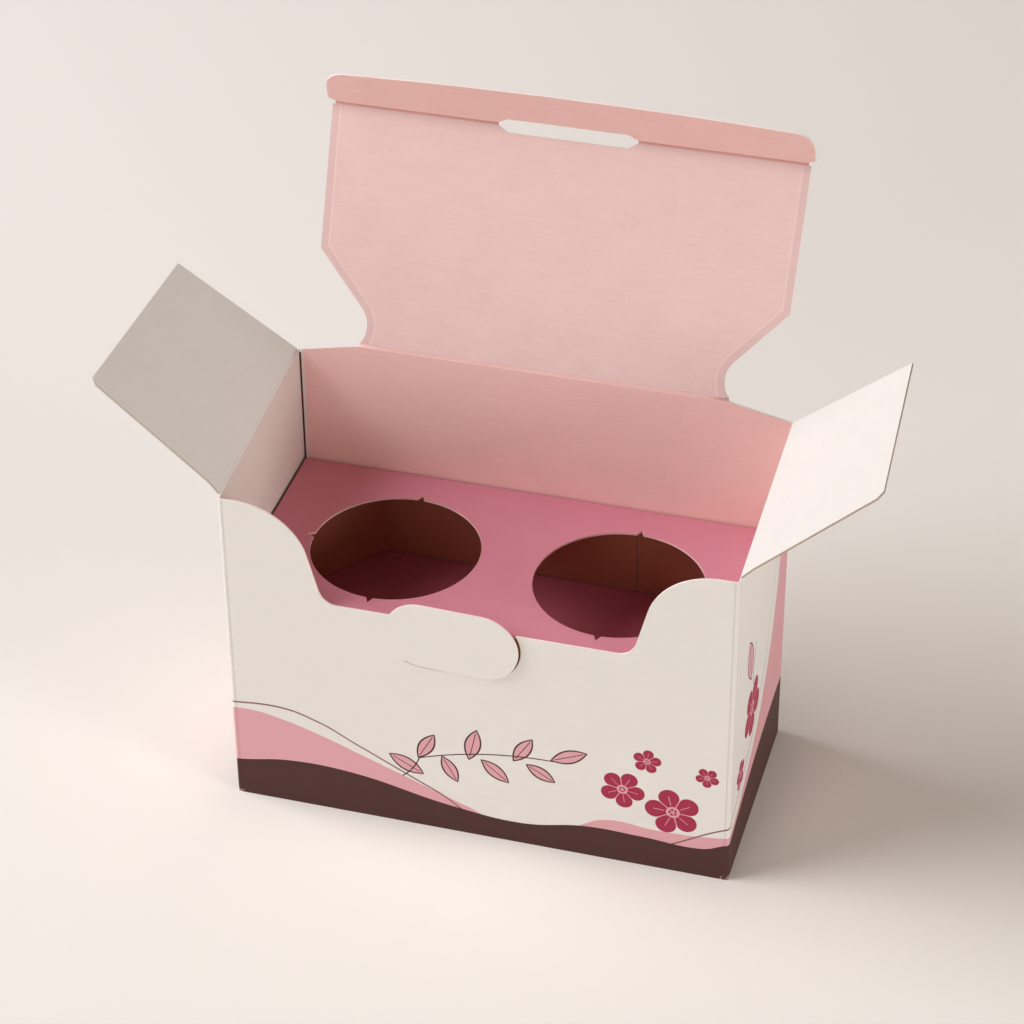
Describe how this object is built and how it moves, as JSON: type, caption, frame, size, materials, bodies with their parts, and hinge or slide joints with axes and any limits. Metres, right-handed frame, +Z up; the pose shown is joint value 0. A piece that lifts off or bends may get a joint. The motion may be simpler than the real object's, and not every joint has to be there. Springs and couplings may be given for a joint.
{
  "type": "two-cup carton",
  "caption": "Folding paperboard carton with a hinged lid, tuck flap, dust flaps and cut-down front, holding a two-hole cup insert over a raised shelf.",
  "frame": {"origin": "middle of the underside of the base", "axes": "+Z up, front with the cut-down towards -Y, +X to the right seen from the front"},
  "size_m": [0.254, 0.1147, 0.2207],
  "materials": {
    "white_board": "matte coated",
    "pink_board": "matte printed",
    "insert_board": "matte printed"
  },
  "bodies": {
    "carton": {"carton_body": "white_board", "insert_platform": "insert_board", "cup_shelf": "insert_board"},
    "lid": {"lid_panel": "pink_board"},
    "tuck": {"tuck_flap": "pink_board"},
    "left_flap": {"left_dust_flap": "white_board"},
    "right_flap": {"right_dust_flap": "white_board"}
  },
  "joints": [
    {"name": "lid_crease", "type": "hinge", "parent": "carton", "child": "lid", "pos_m": [0, 0.03965, 0.13405], "axis": [1, 0, 0], "range_deg": [-65, 122]},
    {"name": "tuck_crease", "type": "hinge", "parent": "lid", "child": "tuck", "pos_m": [0, 0.07303, 0.20563], "axis": [1, 0, 0], "range_deg": [-32, 57]},
    {"name": "left_dust_flap_crease", "type": "hinge", "parent": "carton", "child": "left_flap", "pos_m": [-0.08465, -0.04, 0.12225], "axis": [0, 0.9962, 0.0872], "range_deg": [-60, 144]},
    {"name": "right_dust_flap_crease", "type": "hinge", "parent": "carton", "child": "right_flap", "pos_m": [0.08465, -0.04, 0.12225], "axis": [0, -0.9962, -0.0872], "range_deg": [-60, 140]}
  ],
  "couplings": [
    {"joint": "tuck_crease", "follows": "lid_crease", "ratio": 0.45}
  ]
}
